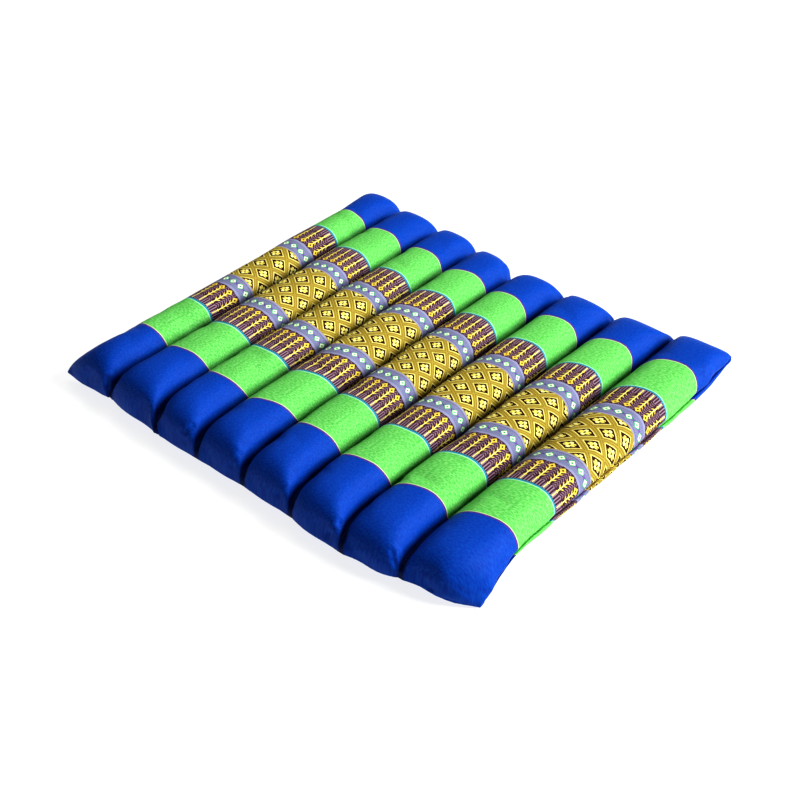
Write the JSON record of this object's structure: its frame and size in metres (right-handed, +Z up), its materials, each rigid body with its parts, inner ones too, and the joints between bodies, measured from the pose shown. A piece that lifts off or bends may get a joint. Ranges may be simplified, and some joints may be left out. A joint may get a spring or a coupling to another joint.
{
  "type": "quilted meditation cushion",
  "caption": "Flat floor cushion of striped woven cloth, sewn through into stuffed channels that lie side by side, with closed ends and drawn-in sides.",
  "frame": {"origin": "on the floor, under the middle of the cushion's outline", "axes": "+X across the channels, +Y along them, +Z up"},
  "size_m": [0.5046, 0.4402, 0.0505],
  "materials": {
    "striped_cloth": "woven sateen with stripes"
  },
  "bodies": {
    "root": {"cushion": "striped_cloth"}
  },
  "joints": []
}
